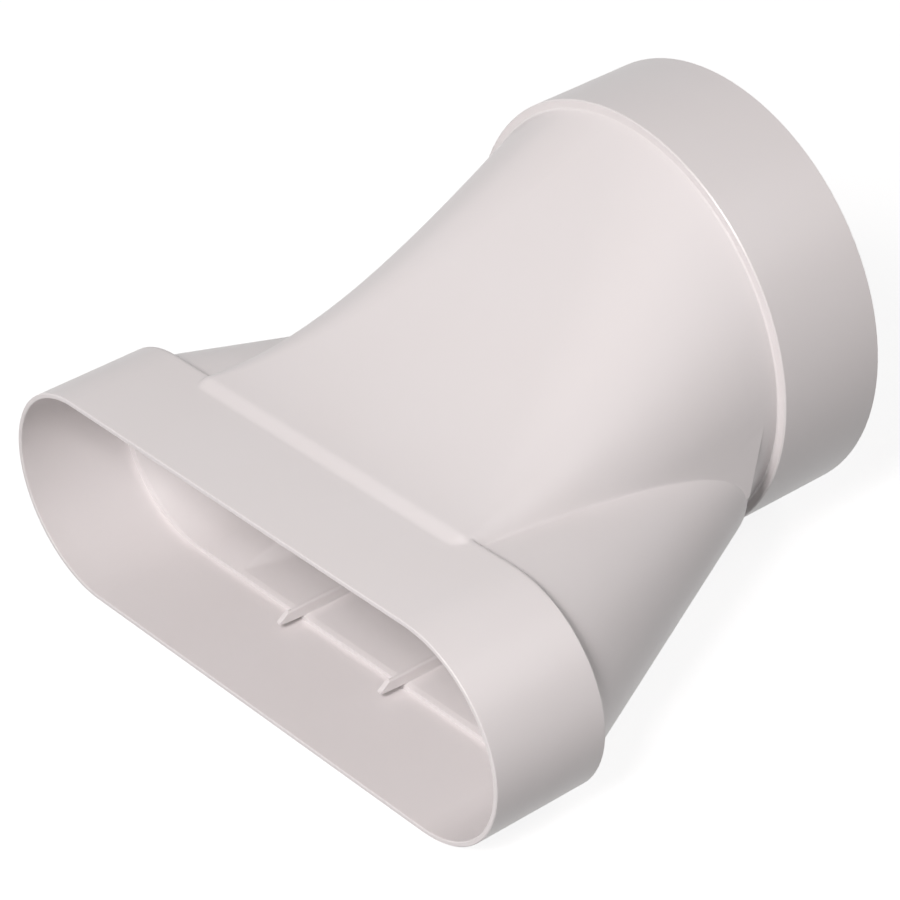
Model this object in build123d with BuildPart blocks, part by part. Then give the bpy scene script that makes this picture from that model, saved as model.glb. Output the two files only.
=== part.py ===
from build123d import *
from math import acos, atan, atan2, hypot, sin, tan
import os

# Adapter between a flat-oval duct channel and a round pipe, moulded in one piece of hard plastic.
# X runs across the channel, Y along the air path from the oblong mouth to the round mouth, Z is up.
# The origin is the middle of the underside, on the surface that the adapter lies on.

os.makedirs("parts", exist_ok=True)

# What goes into the two sockets, in millimetres
channel_width = 208.0  # outside of the flat-oval channel
channel_height = 61.4
pipe_diameter = 125.0  # outside of the round pipe
socket_clearance = 1.4  # on the width, the height and the diameter

# Lengths along the air path
oblong_depth = 36.0
transition_length = 102.0
round_depth = 35.0

# Walls and steps
wall = 1.5
stop_web = 1.5  # from the oblong socket's stop to the back of its collar
stop_step = 1.8  # the transition stands in from the oblong collar by this, all round
shoulder_step = 2.8  # and from the round collar by this

# The saddle, which rises from the top of the oblong collar to the round collar
saddle_setback = 6.2  # it starts this far in front of the oblong collar's back edge
saddle_waist = 3.2  # it starts this much narrower on each side than it ends
saddle_corner = 5.0
saddle_stations = 7
lip_length = 4.0  # the bevel at its start
lip_rise = 1.6
lift_share = 0.12  # its slope behind the bevel, as a share of its mean slope
climb_share = 1.5  # its slope at the round collar, as a share of its mean slope
section_flat = 0.3  # what is left of the straight sides where the barrel is almost round

# The wings, two leaning cones with flat sheets between them that narrow to the round collar's lower flanks
wing_inset = 2.1  # from the top and the underside of the oblong collar
wing_spread = 1.2  # from a cone's axis to the oblong collar's end, in radii
wing_tuck = 21.8  # from a cone's axis to the barrel's widest line, at the round collar
wing_end_radius = 14.5
wing_end_rise = 5.3

# The flanks, upright cheeks between the wings and the barrel's widest line
flank_end = 3.3  # from the round collar, at the height of its axis
flank_slant = 0.287
flank_start_inset = 0.3  # they stand in from the barrel's widest line by this at the oblong collar
flank_end_inset = 0.05  # and almost touch it at the round collar

# The two guide ribs on the floor
rib_spacing = 45.2
rib_thickness = 1.6
rib_height = 3.4
rib_nose = 1.2  # height left at the tip, where the channel slides on
rib_bevel = 0.4
rib_reach = 8.0  # over the floor of the oblong socket
rib_length = 40.0

# Worked out from the sizes above
oblong_width = channel_width + socket_clearance + 2 * wall
oblong_height = channel_height + socket_clearance + 2 * wall
round_diameter = pipe_diameter + socket_clearance + 2 * wall
length = oblong_depth + transition_length + round_depth
channel_axis = oblong_height / 2
pipe_axis = round_diameter / 2
barrel_radius = round_diameter / 2 - shoulder_step
saddle_width = 2 * (barrel_radius - saddle_waist)
wing_radius = oblong_height / 2 - wing_inset
wing_overlap = wing_radius / 2
rim_bevel = wall / 6
collar_bevel = wall / 3
shoulder_bevel = wall / 4

# Places along Y and levels along Z
mouth = -length / 2
stop = mouth + oblong_depth - stop_web
collar_back = mouth + oblong_depth
saddle_start = collar_back - saddle_setback
lip_end = saddle_start + lip_length
shoulder = collar_back + transition_length
flank_top = shoulder - flank_end
flank_foot = channel_axis + wing_end_rise
flank_low = flank_top - flank_slant * (pipe_axis - flank_foot)
flank_base = flank_top - flank_slant * pipe_axis
floor = stop_step + wall
rib_tip = stop - rib_reach
rib_foot = rib_tip + rib_length


def across(y):
    """The plane across the duct at a place along Y, with its own Y axis pointing up."""
    return Plane(origin=(0, y, 0), x_dir=(-1, 0, 0), z_dir=(0, 1, 0))


def between(start, end, share):
    return start + (end - start) * share


def saddle_line(start, start_top, end_top):
    """The crest of the saddle from its start to the round collar, as one curve."""
    third = (shoulder - start) / 3
    rise = (end_top - start_top) / 3
    with BuildLine(Plane.YZ) as line:
        Bezier(
            (start, start_top),
            (start + third, start_top + rise * lift_share),
            (shoulder - third, end_top - rise * climb_share),
            (shoulder, end_top),
        )
    return line.edge()


def barrel_sections(start, start_top, start_bottom, inset):
    """Sections across the barrel, with a flat top at its start and almost round at its end."""
    radius = barrel_radius - inset
    crest = saddle_line(start, start_top, pipe_axis + radius)
    sections = []
    for station in range(saddle_stations):
        share = station / (saddle_stations - 1)
        top = crest @ share
        bottom = between(start_bottom, pipe_axis - radius, share)
        half_width = between(saddle_width / 2 - inset, radius, share)
        corner = between(saddle_corner, radius - section_flat, share)
        with BuildSketch(across(top.Y)) as section:
            with Locations((0, (top.Z + bottom) / 2)):
                RectangleRounded(2 * half_width, top.Z - bottom, corner)
        sections.append(section.sketch)
    return sections


def wing_body(start, inset):
    """The wings from a start to the flanks' slanted end."""
    root = Vector(oblong_width / 2 - wing_spread * wing_radius, collar_back, channel_axis)
    tip = Vector(barrel_radius - wing_tuck, shoulder, flank_foot)
    run = (tip - root).length
    axis = (tip - root).normalized()
    taper = (wing_radius - wing_end_radius) / run
    base_radius = wing_radius - inset + wing_overlap * taper
    end_radius = wing_end_radius - inset - wing_overlap * taper
    apex = root + axis * ((wing_radius - inset) / taper)
    tilt = atan2(axis.Z, axis.Y)
    opening = acos(sin(atan(taper)) / hypot(axis.Y, axis.Z))
    with BuildPart() as body:
        # The flat sheets, between the axes of the two cones
        with BuildSketch():
            with BuildLine():
                Polyline(
                    (tip.X, tip.Y),
                    (-tip.X, tip.Y),
                    (-root.X, root.Y),
                    (-root.X, mouth),
                    (root.X, mouth),
                    (root.X, root.Y),
                    close=True,
                )
            make_face()
        extrude(amount=round_diameter)
        with BuildSketch(Plane.YZ):
            with BuildLine():
                Polyline(
                    (apex.Y, apex.Z),
                    (mouth, apex.Z - (mouth - apex.Y) / tan(tilt + opening)),
                    (mouth, apex.Z - (mouth - apex.Y) / tan(tilt - opening)),
                    close=True,
                )
            make_face()
        extrude(amount=oblong_width, both=True, mode=Mode.INTERSECT)
        # The cones, each a little longer than the wings at both ends
        middle = (root + tip) / 2
        for side in (-1, 1):
            lean = Plane((side * middle.X, middle.Y, middle.Z), z_dir=(side * axis.X, axis.Y, axis.Z))
            with Locations(lean):
                Cone(base_radius, end_radius, run + 2 * wing_overlap)
        # Cut off square at the start, and along the flanks' slanted end
        with BuildSketch(Plane.YZ):
            with BuildLine():
                Polyline(
                    (start, 0),
                    (start, round_diameter),
                    (flank_top - inset, round_diameter),
                    (flank_top - inset, pipe_axis),
                    (flank_base - inset, 0),
                    close=True,
                )
            make_face()
        extrude(amount=oblong_width, both=True, mode=Mode.INTERSECT)
    return body.part


barrel_outside = barrel_sections(lip_end, oblong_height + lip_rise, stop_step, 0)
barrel_inside = barrel_sections(stop, oblong_height - floor, floor, wall)
with BuildSketch(across(saddle_start)) as lip:
    with Locations((0, (oblong_height + stop_step) / 2)):
        RectangleRounded(saddle_width, oblong_height - stop_step, saddle_corner)

# Flanks
with BuildPart() as flanks:
    with BuildSketch():
        with BuildLine():
            Polyline(
                (saddle_width / 2 - flank_start_inset, lip_end),
                (barrel_radius - flank_end_inset, shoulder),
                (flank_end_inset - barrel_radius, shoulder),
                (flank_start_inset - saddle_width / 2, lip_end),
                close=True,
            )
        make_face()
    extrude(amount=round_diameter)
    with BuildSketch(Plane.YZ):
        with BuildLine():
            Polyline(
                (collar_back, channel_axis),
                (flank_low, flank_foot),
                (flank_top, pipe_axis),
                close=True,
            )
        make_face()
    extrude(amount=oblong_width, both=True, mode=Mode.INTERSECT)

# Guide rib, whose tip reaches forward over the floor of the oblong socket
with BuildPart() as rib:
    with BuildSketch(Plane.YZ):
        with BuildLine():
            Polyline(
                (rib_tip, floor + rib_nose / 2),
                (rib_tip, floor + rib_nose),
                (rib_tip + rib_height, floor + rib_height),
                (rib_foot - rib_height, floor + rib_height),
                (rib_foot, floor - wall / 2),
                (stop, floor - wall / 2),
                (stop, floor),
                close=True,
            )
        make_face()
    extrude(amount=rib_thickness / 2, both=True)
    chamfer(edges().group_by(Axis.Z)[-1].filter_by(Axis.Y), length=rib_bevel)

with BuildPart() as duct_adapter:
    # Oblong collar
    with BuildSketch(across(mouth)):
        with Locations((0, channel_axis)):
            SlotOverall(oblong_width, oblong_height)
    extrude(amount=oblong_depth)
    chamfer(edges().group_by(Axis.Y)[-1], length=collar_bevel)
    # Round collar
    with BuildSketch(across(shoulder)):
        with Locations((0, pipe_axis)):
            Circle(round_diameter / 2)
    extrude(amount=round_depth)
    chamfer(edges(Select.LAST).group_by(Axis.Y)[0], length=shoulder_bevel)
    # Barrel with the saddle on its top
    loft([lip.sketch, barrel_outside[0]], ruled=True)
    loft(barrel_outside)
    seam = edges().filter_by_position(Axis.Y, shoulder - section_flat, shoulder + section_flat)
    chamfer(seam.filter_by(GeomType.CIRCLE, reverse=True), length=shoulder_bevel)
    add(wing_body(collar_back, 0))
    add(flanks.part)
    # Air path from the oblong socket to the round socket
    with BuildSketch(across(mouth)):
        with Locations((0, channel_axis)):
            SlotOverall(oblong_width - 2 * wall, oblong_height - 2 * wall)
    extrude(amount=stop - mouth, mode=Mode.SUBTRACT)
    add(wing_body(stop, wall), mode=Mode.SUBTRACT)
    loft(barrel_inside, mode=Mode.SUBTRACT)
    extrude(barrel_inside[-1], amount=wall, dir=(0, 1, 0), mode=Mode.SUBTRACT)
    with BuildSketch(across(shoulder + wall)):
        with Locations((0, pipe_axis)):
            Circle(round_diameter / 2 - wall)
    extrude(amount=round_depth, mode=Mode.SUBTRACT)
    # Bevelled rims
    chamfer(edges().group_by(Axis.Y)[0] + edges().group_by(Axis.Y)[-1], length=rim_bevel)
    with GridLocations(rib_spacing, 0, 2, 1):
        add(rib.part)

duct_adapter.part.label = "duct_adapter"
export_step(duct_adapter.part, "parts/duct_adapter.step")
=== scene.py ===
# %% [markdown]
# A duct adapter joins a flat oval ventilation channel to a round pipe.
# The real one leaves its mould as a single white shell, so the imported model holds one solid.
# Loading it first gives a fixed frame: everything made later is in metres and sits where the CAD says.

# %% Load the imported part
import math

import bmesh
import bpy
from mathutils import Matrix, Vector


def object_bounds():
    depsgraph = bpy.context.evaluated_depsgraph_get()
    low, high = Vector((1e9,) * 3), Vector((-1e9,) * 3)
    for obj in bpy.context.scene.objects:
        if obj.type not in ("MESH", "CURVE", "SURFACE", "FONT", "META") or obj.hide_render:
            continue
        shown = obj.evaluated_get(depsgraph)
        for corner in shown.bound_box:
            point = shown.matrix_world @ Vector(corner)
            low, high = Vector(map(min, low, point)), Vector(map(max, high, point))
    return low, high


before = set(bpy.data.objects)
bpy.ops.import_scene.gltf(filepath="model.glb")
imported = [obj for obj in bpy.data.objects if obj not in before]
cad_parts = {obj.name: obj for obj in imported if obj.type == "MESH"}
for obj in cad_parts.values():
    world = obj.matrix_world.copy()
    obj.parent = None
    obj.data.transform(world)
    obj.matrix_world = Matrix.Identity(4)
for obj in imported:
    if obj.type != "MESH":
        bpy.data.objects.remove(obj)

MM = 0.001

cad_low, cad_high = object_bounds()
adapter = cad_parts["duct_adapter"]
print("adapter size in mm:", [round(side / MM, 1) for side in cad_high - cad_low])
print("adapter triangles:", len(adapter.data.polygons))

# %% [markdown]
# Every material below is built from nodes.
# One function turns the hex colours that people write into the linear values that Blender mixes.
# Another adds a node, fills in its settings, and either sets its inputs or joins them to other nodes.
# An input is called by its name, or by its number where a node has several of the same name.


# %% Helpers for colours and nodes
def linear(hex_colour):
    channels = [int(hex_colour[start:start + 2], 16) / 255 for start in (1, 3, 5)]
    return [c / 12.92 if c <= 0.04045 else ((c + 0.055) / 1.055) ** 2.4 for c in channels] + [1.0]


def add_node(owner, kind, inputs, **settings):
    node = owner.node_tree.nodes.new(kind)
    for name, value in settings.items():
        setattr(node, name, value)
    for name, value in inputs.items():
        if isinstance(value, bpy.types.NodeSocket):
            owner.node_tree.links.new(value, node.inputs[name])
        else:
            node.inputs[name].default_value = value
    return node


def clear_nodes(owner):
    owner.use_nodes = True
    owner.node_tree.nodes.clear()
    return owner


# %% [markdown]
# The shell is white ABS, injection moulded in a polished steel mould.
# Such a surface is smooth and glossy, and its white leans a little to pink.
# Melt that cooled unevenly leaves soft ripples about a thumb wide and a very fine orange peel,
# so two noises bend the surface by a few hundredths of a millimetre or less,
# and a third one shifts gloss and colour.
# A mould has no sharp corners either. A Bevel node rounds every edge for the light alone: hardly on the
# collars and rims, and generously in the middle, where the wings run into the barrel, and along the lip,
# the low ramp at which the saddle starts on top of the oblong collar.

# %% White moulded plastic
SHELL_WHITE = linear("#ECE9E9")
SHELL_WARM = linear("#EAE6E5")
ROUGHNESS_LOW = 0.29  # glossier than this, the render's noise filter leaves patches on the surface
ROUGHNESS_HIGH = 0.36
PLASTIC_IOR = 1.53
FLOW_WIDTH = 35 * MM
FLOW_DETAIL = 3.0
RIPPLE_WIDTH = 22 * MM
RIPPLE_DEPTH = 0.03 * MM
RIPPLE_DETAIL = 1.0
PEEL_WIDTH = 1.6 * MM  # real orange peel is finer, and is drawn this coarse so that it can show
PEEL_DEPTH = 0.004 * MM
PEEL_DETAIL = 2.0
EDGE_SAMPLES = 8
COLLAR_ROUND = 0.05 * MM
BLEND_ROUND = 1.6 * MM
BLEND_MIDDLE = -12 * MM  # along Y; the rounding is full up to the near distance and gone at the far one
BLEND_NEAR = 28 * MM
BLEND_FAR = 44 * MM
LIP_ROUND = 2.2 * MM
LIP_LINE = (0, -54.7 * MM, 66.6 * MM)  # the lip runs along X through this point
LIP_NEAR = 3 * MM
LIP_FAR = 7 * MM
ACROSS_X = (0, 1, 1)  # leaves out X, so that what remains is the distance from the line
COLOUR_A, COLOUR_B, COLOUR_OUT = 6, 7, 2  # the sockets of a Mix node that are for colours

plastic = clear_nodes(bpy.data.materials.new("white_moulded_abs"))
place = add_node(plastic, "ShaderNodeTexCoord", {}).outputs["Object"]
flow = add_node(plastic, "ShaderNodeTexNoise",
                {"Vector": place, "Scale": 1 / FLOW_WIDTH, "Detail": FLOW_DETAIL})
tone = add_node(plastic, "ShaderNodeMix",
                {"Factor": flow.outputs["Fac"], COLOUR_A: SHELL_WHITE, COLOUR_B: SHELL_WARM}, data_type="RGBA")
gloss = add_node(plastic, "ShaderNodeMapRange",
                 {"Value": flow.outputs["Fac"], "To Min": ROUGHNESS_LOW, "To Max": ROUGHNESS_HIGH})

along = add_node(plastic, "ShaderNodeSeparateXYZ", {"Vector": place}).outputs["Y"]
past_middle = add_node(plastic, "ShaderNodeMath", {0: along, 1: BLEND_MIDDLE}, operation="SUBTRACT")
from_middle = add_node(plastic, "ShaderNodeMath", {0: past_middle.outputs[0]}, operation="ABSOLUTE")
blend_round = add_node(plastic, "ShaderNodeMapRange",
                       {"Value": from_middle.outputs[0], "From Min": BLEND_NEAR, "From Max": BLEND_FAR,
                        "To Min": BLEND_ROUND, "To Max": COLLAR_ROUND})
past_lip = add_node(plastic, "ShaderNodeVectorMath", {0: place, 1: LIP_LINE}, operation="SUBTRACT")
across_lip = add_node(plastic, "ShaderNodeVectorMath", {0: past_lip.outputs[0], 1: ACROSS_X},
                      operation="MULTIPLY")
from_lip = add_node(plastic, "ShaderNodeVectorMath", {0: across_lip.outputs[0]}, operation="LENGTH")
lip_round = add_node(plastic, "ShaderNodeMapRange",
                     {"Value": from_lip.outputs["Value"], "From Min": LIP_NEAR, "From Max": LIP_FAR,
                      "To Min": LIP_ROUND, "To Max": 0.0})
rounding = add_node(plastic, "ShaderNodeMath", {0: blend_round.outputs[0], 1: lip_round.outputs[0]},
                    operation="MAXIMUM")
edges = add_node(plastic, "ShaderNodeBevel", {"Radius": rounding.outputs[0]}, samples=EDGE_SAMPLES)

ripple = add_node(plastic, "ShaderNodeTexNoise",
                  {"Vector": place, "Scale": 1 / RIPPLE_WIDTH, "Detail": RIPPLE_DETAIL})
waves = add_node(plastic, "ShaderNodeBump",
                 {"Distance": RIPPLE_DEPTH, "Height": ripple.outputs["Fac"], "Normal": edges.outputs["Normal"]})
peel = add_node(plastic, "ShaderNodeTexNoise",
                {"Vector": place, "Scale": 1 / PEEL_WIDTH, "Detail": PEEL_DETAIL})
skin = add_node(plastic, "ShaderNodeBump",
                {"Distance": PEEL_DEPTH, "Height": peel.outputs["Fac"], "Normal": waves.outputs["Normal"]})
shell = add_node(plastic, "ShaderNodeBsdfPrincipled",
                 {"Base Color": tone.outputs[COLOUR_OUT], "Roughness": gloss.outputs["Result"],
                  "IOR": PLASTIC_IOR, "Normal": skin.outputs["Normal"]})
add_node(plastic, "ShaderNodeOutputMaterial", {"Surface": shell.outputs["BSDF"]})

adapter.data.materials[0] = plastic
print("shell material:", plastic.name, "with", len(plastic.node_tree.nodes), "nodes")

# %% [markdown]
# The photograph is a product shot on plain white.
# The floor is a wide pale sheet. To the camera and in reflections it also glows a little, so it reads
# as white while the shadow under the adapter stays on it. The surroundings are white in the same way.

# %% Pale floor and white surroundings
WHITE = linear("#FFFFFF")
FLOOR_HALF = 4.0
FLOOR_GLOW = 0.86
FLOOR_GREY = linear("#A0A0A0")
STUDIO_FILL = 0.1
STUDIO_GLOW = 1.0


def seen_rays(owner):
    rays = add_node(owner, "ShaderNodeLightPath", {})
    mirrored = add_node(owner, "ShaderNodeMath",
                        {0: rays.outputs["Is Glossy Ray"], 1: rays.outputs["Is Transmission Ray"]},
                        operation="MAXIMUM")
    seen = add_node(owner, "ShaderNodeMath", {0: rays.outputs["Is Camera Ray"], 1: mirrored.outputs[0]},
                    operation="MAXIMUM")
    return seen.outputs[0]


sheet = clear_nodes(bpy.data.materials.new("pale_floor"))
matt = add_node(sheet, "ShaderNodeBsdfDiffuse", {"Color": FLOOR_GREY})
glow = add_node(sheet, "ShaderNodeEmission", {"Color": WHITE, "Strength": FLOOR_GLOW})
both = add_node(sheet, "ShaderNodeAddShader", {0: matt.outputs[0], 1: glow.outputs[0]})
sheet_mix = add_node(sheet, "ShaderNodeMixShader",
                     {0: seen_rays(sheet), 1: matt.outputs[0], 2: both.outputs[0]})
add_node(sheet, "ShaderNodeOutputMaterial", {"Surface": sheet_mix.outputs[0]})

floor_shape = bmesh.new()
bmesh.ops.create_grid(floor_shape, x_segments=1, y_segments=1, size=FLOOR_HALF,
                      matrix=Matrix.Translation((0, 0, cad_low.z)))
floor_mesh = bpy.data.meshes.new("floor")
floor_shape.to_mesh(floor_mesh)
floor_shape.free()
floor_mesh.materials.append(sheet)
floor = bpy.data.objects.new("floor", floor_mesh)
bpy.context.collection.objects.link(floor)

studio = clear_nodes(bpy.data.worlds.new("white_studio"))
bpy.context.scene.world = studio
studio_fill = add_node(studio, "ShaderNodeBackground", {"Color": WHITE, "Strength": STUDIO_FILL})
studio_seen = add_node(studio, "ShaderNodeBackground", {"Color": WHITE, "Strength": STUDIO_GLOW})
studio_mix = add_node(studio, "ShaderNodeMixShader",
                      {0: seen_rays(studio), 1: studio_fill.outputs[0], 2: studio_seen.outputs[0]})
add_node(studio, "ShaderNodeOutputWorld", {"Surface": studio_mix.outputs[0]})
print("floor width in metres:", 2 * FLOOR_HALF)

# %% [markdown]
# The camera stands where the photograph was taken: above the oblong mouth and to its right,
# far away with a long lens, and tipped a few degrees.
# One function places it, and the lamps after it: turned by two angles in degrees, a distance from the aim.

# %% Camera at the photograph's viewing angle
VIEW_AZIMUTH = 53.15
VIEW_ELEVATION = 32.19
VIEW_ROLL = -4.45
VIEW_DISTANCE = 1.0156
AIM_POINT = Vector((-0.01075, -0.00505, 0.04175))
SENSOR_WIDTH = 36.0  # a camera's own sizes are in millimetres
LENS = 146.5


def facing_aim(azimuth, elevation, distance, roll=0):
    turn = (Matrix.Rotation(math.radians(azimuth), 4, "Z")
            @ Matrix.Rotation(math.radians(90 - elevation), 4, "X")
            @ Matrix.Rotation(math.radians(roll), 4, "Z"))
    return Matrix.Translation(AIM_POINT) @ turn @ Matrix.Translation((0, 0, distance))


camera_data = bpy.data.cameras.new("camera")
camera_data.sensor_width = SENSOR_WIDTH
camera_data.lens = LENS
camera = bpy.data.objects.new("camera", camera_data)
camera.matrix_world = facing_aim(VIEW_AZIMUTH, VIEW_ELEVATION, VIEW_DISTANCE, VIEW_ROLL)
bpy.context.collection.objects.link(camera)
bpy.context.scene.camera = camera
print("camera at:", [round(metres, 3) for metres in camera.matrix_world.translation])

# %% [markdown]
# The photograph is lit from near the camera, a little above it and to its left,
# so the tops and the inside of the oblong mouth are about as bright as each other.
# The main lamp stands there. It is small enough to shine in under the mouth's upper wall.
# Three much weaker lamps help it: one in front of the oblong mouth reaches its inside, one behind
# on the right lifts the tops of the wing and the round collar, and a low one lifts the shadows on the left.
# All are a touch pink, as the photograph's light is. The Standard view keeps the colours as written.

# %% Studio lamps
LAMP_COLOUR = linear("#FFF9F9")[:3]
LAMP_DISTANCE = 1.3
LAMPS = {
    "main_lamp": {"azimuth": 30, "elevation": 42, "width": 0.4, "power": 11.4},
    "mouth_lamp": {"azimuth": 14, "elevation": 32, "width": 0.6, "power": 2.2},
    "back_lamp": {"azimuth": 128, "elevation": 40, "width": 0.8, "power": 2.4},
    "left_lamp": {"azimuth": -75, "elevation": 14, "width": 0.8, "power": 1.5},
}
for name, lamp in LAMPS.items():
    lamp_data = bpy.data.lights.new(name, "AREA")
    lamp_data.size = lamp["width"]
    lamp_data.energy = lamp["power"]
    lamp_data.color = LAMP_COLOUR
    lamp_object = bpy.data.objects.new(name, lamp_data)
    lamp_object.matrix_world = facing_aim(lamp["azimuth"], lamp["elevation"], LAMP_DISTANCE)
    bpy.context.collection.objects.link(lamp_object)
    print(name, "at:", [round(metres, 2) for metres in lamp_object.matrix_world.translation])

bpy.context.scene.view_settings.view_transform = "Standard"
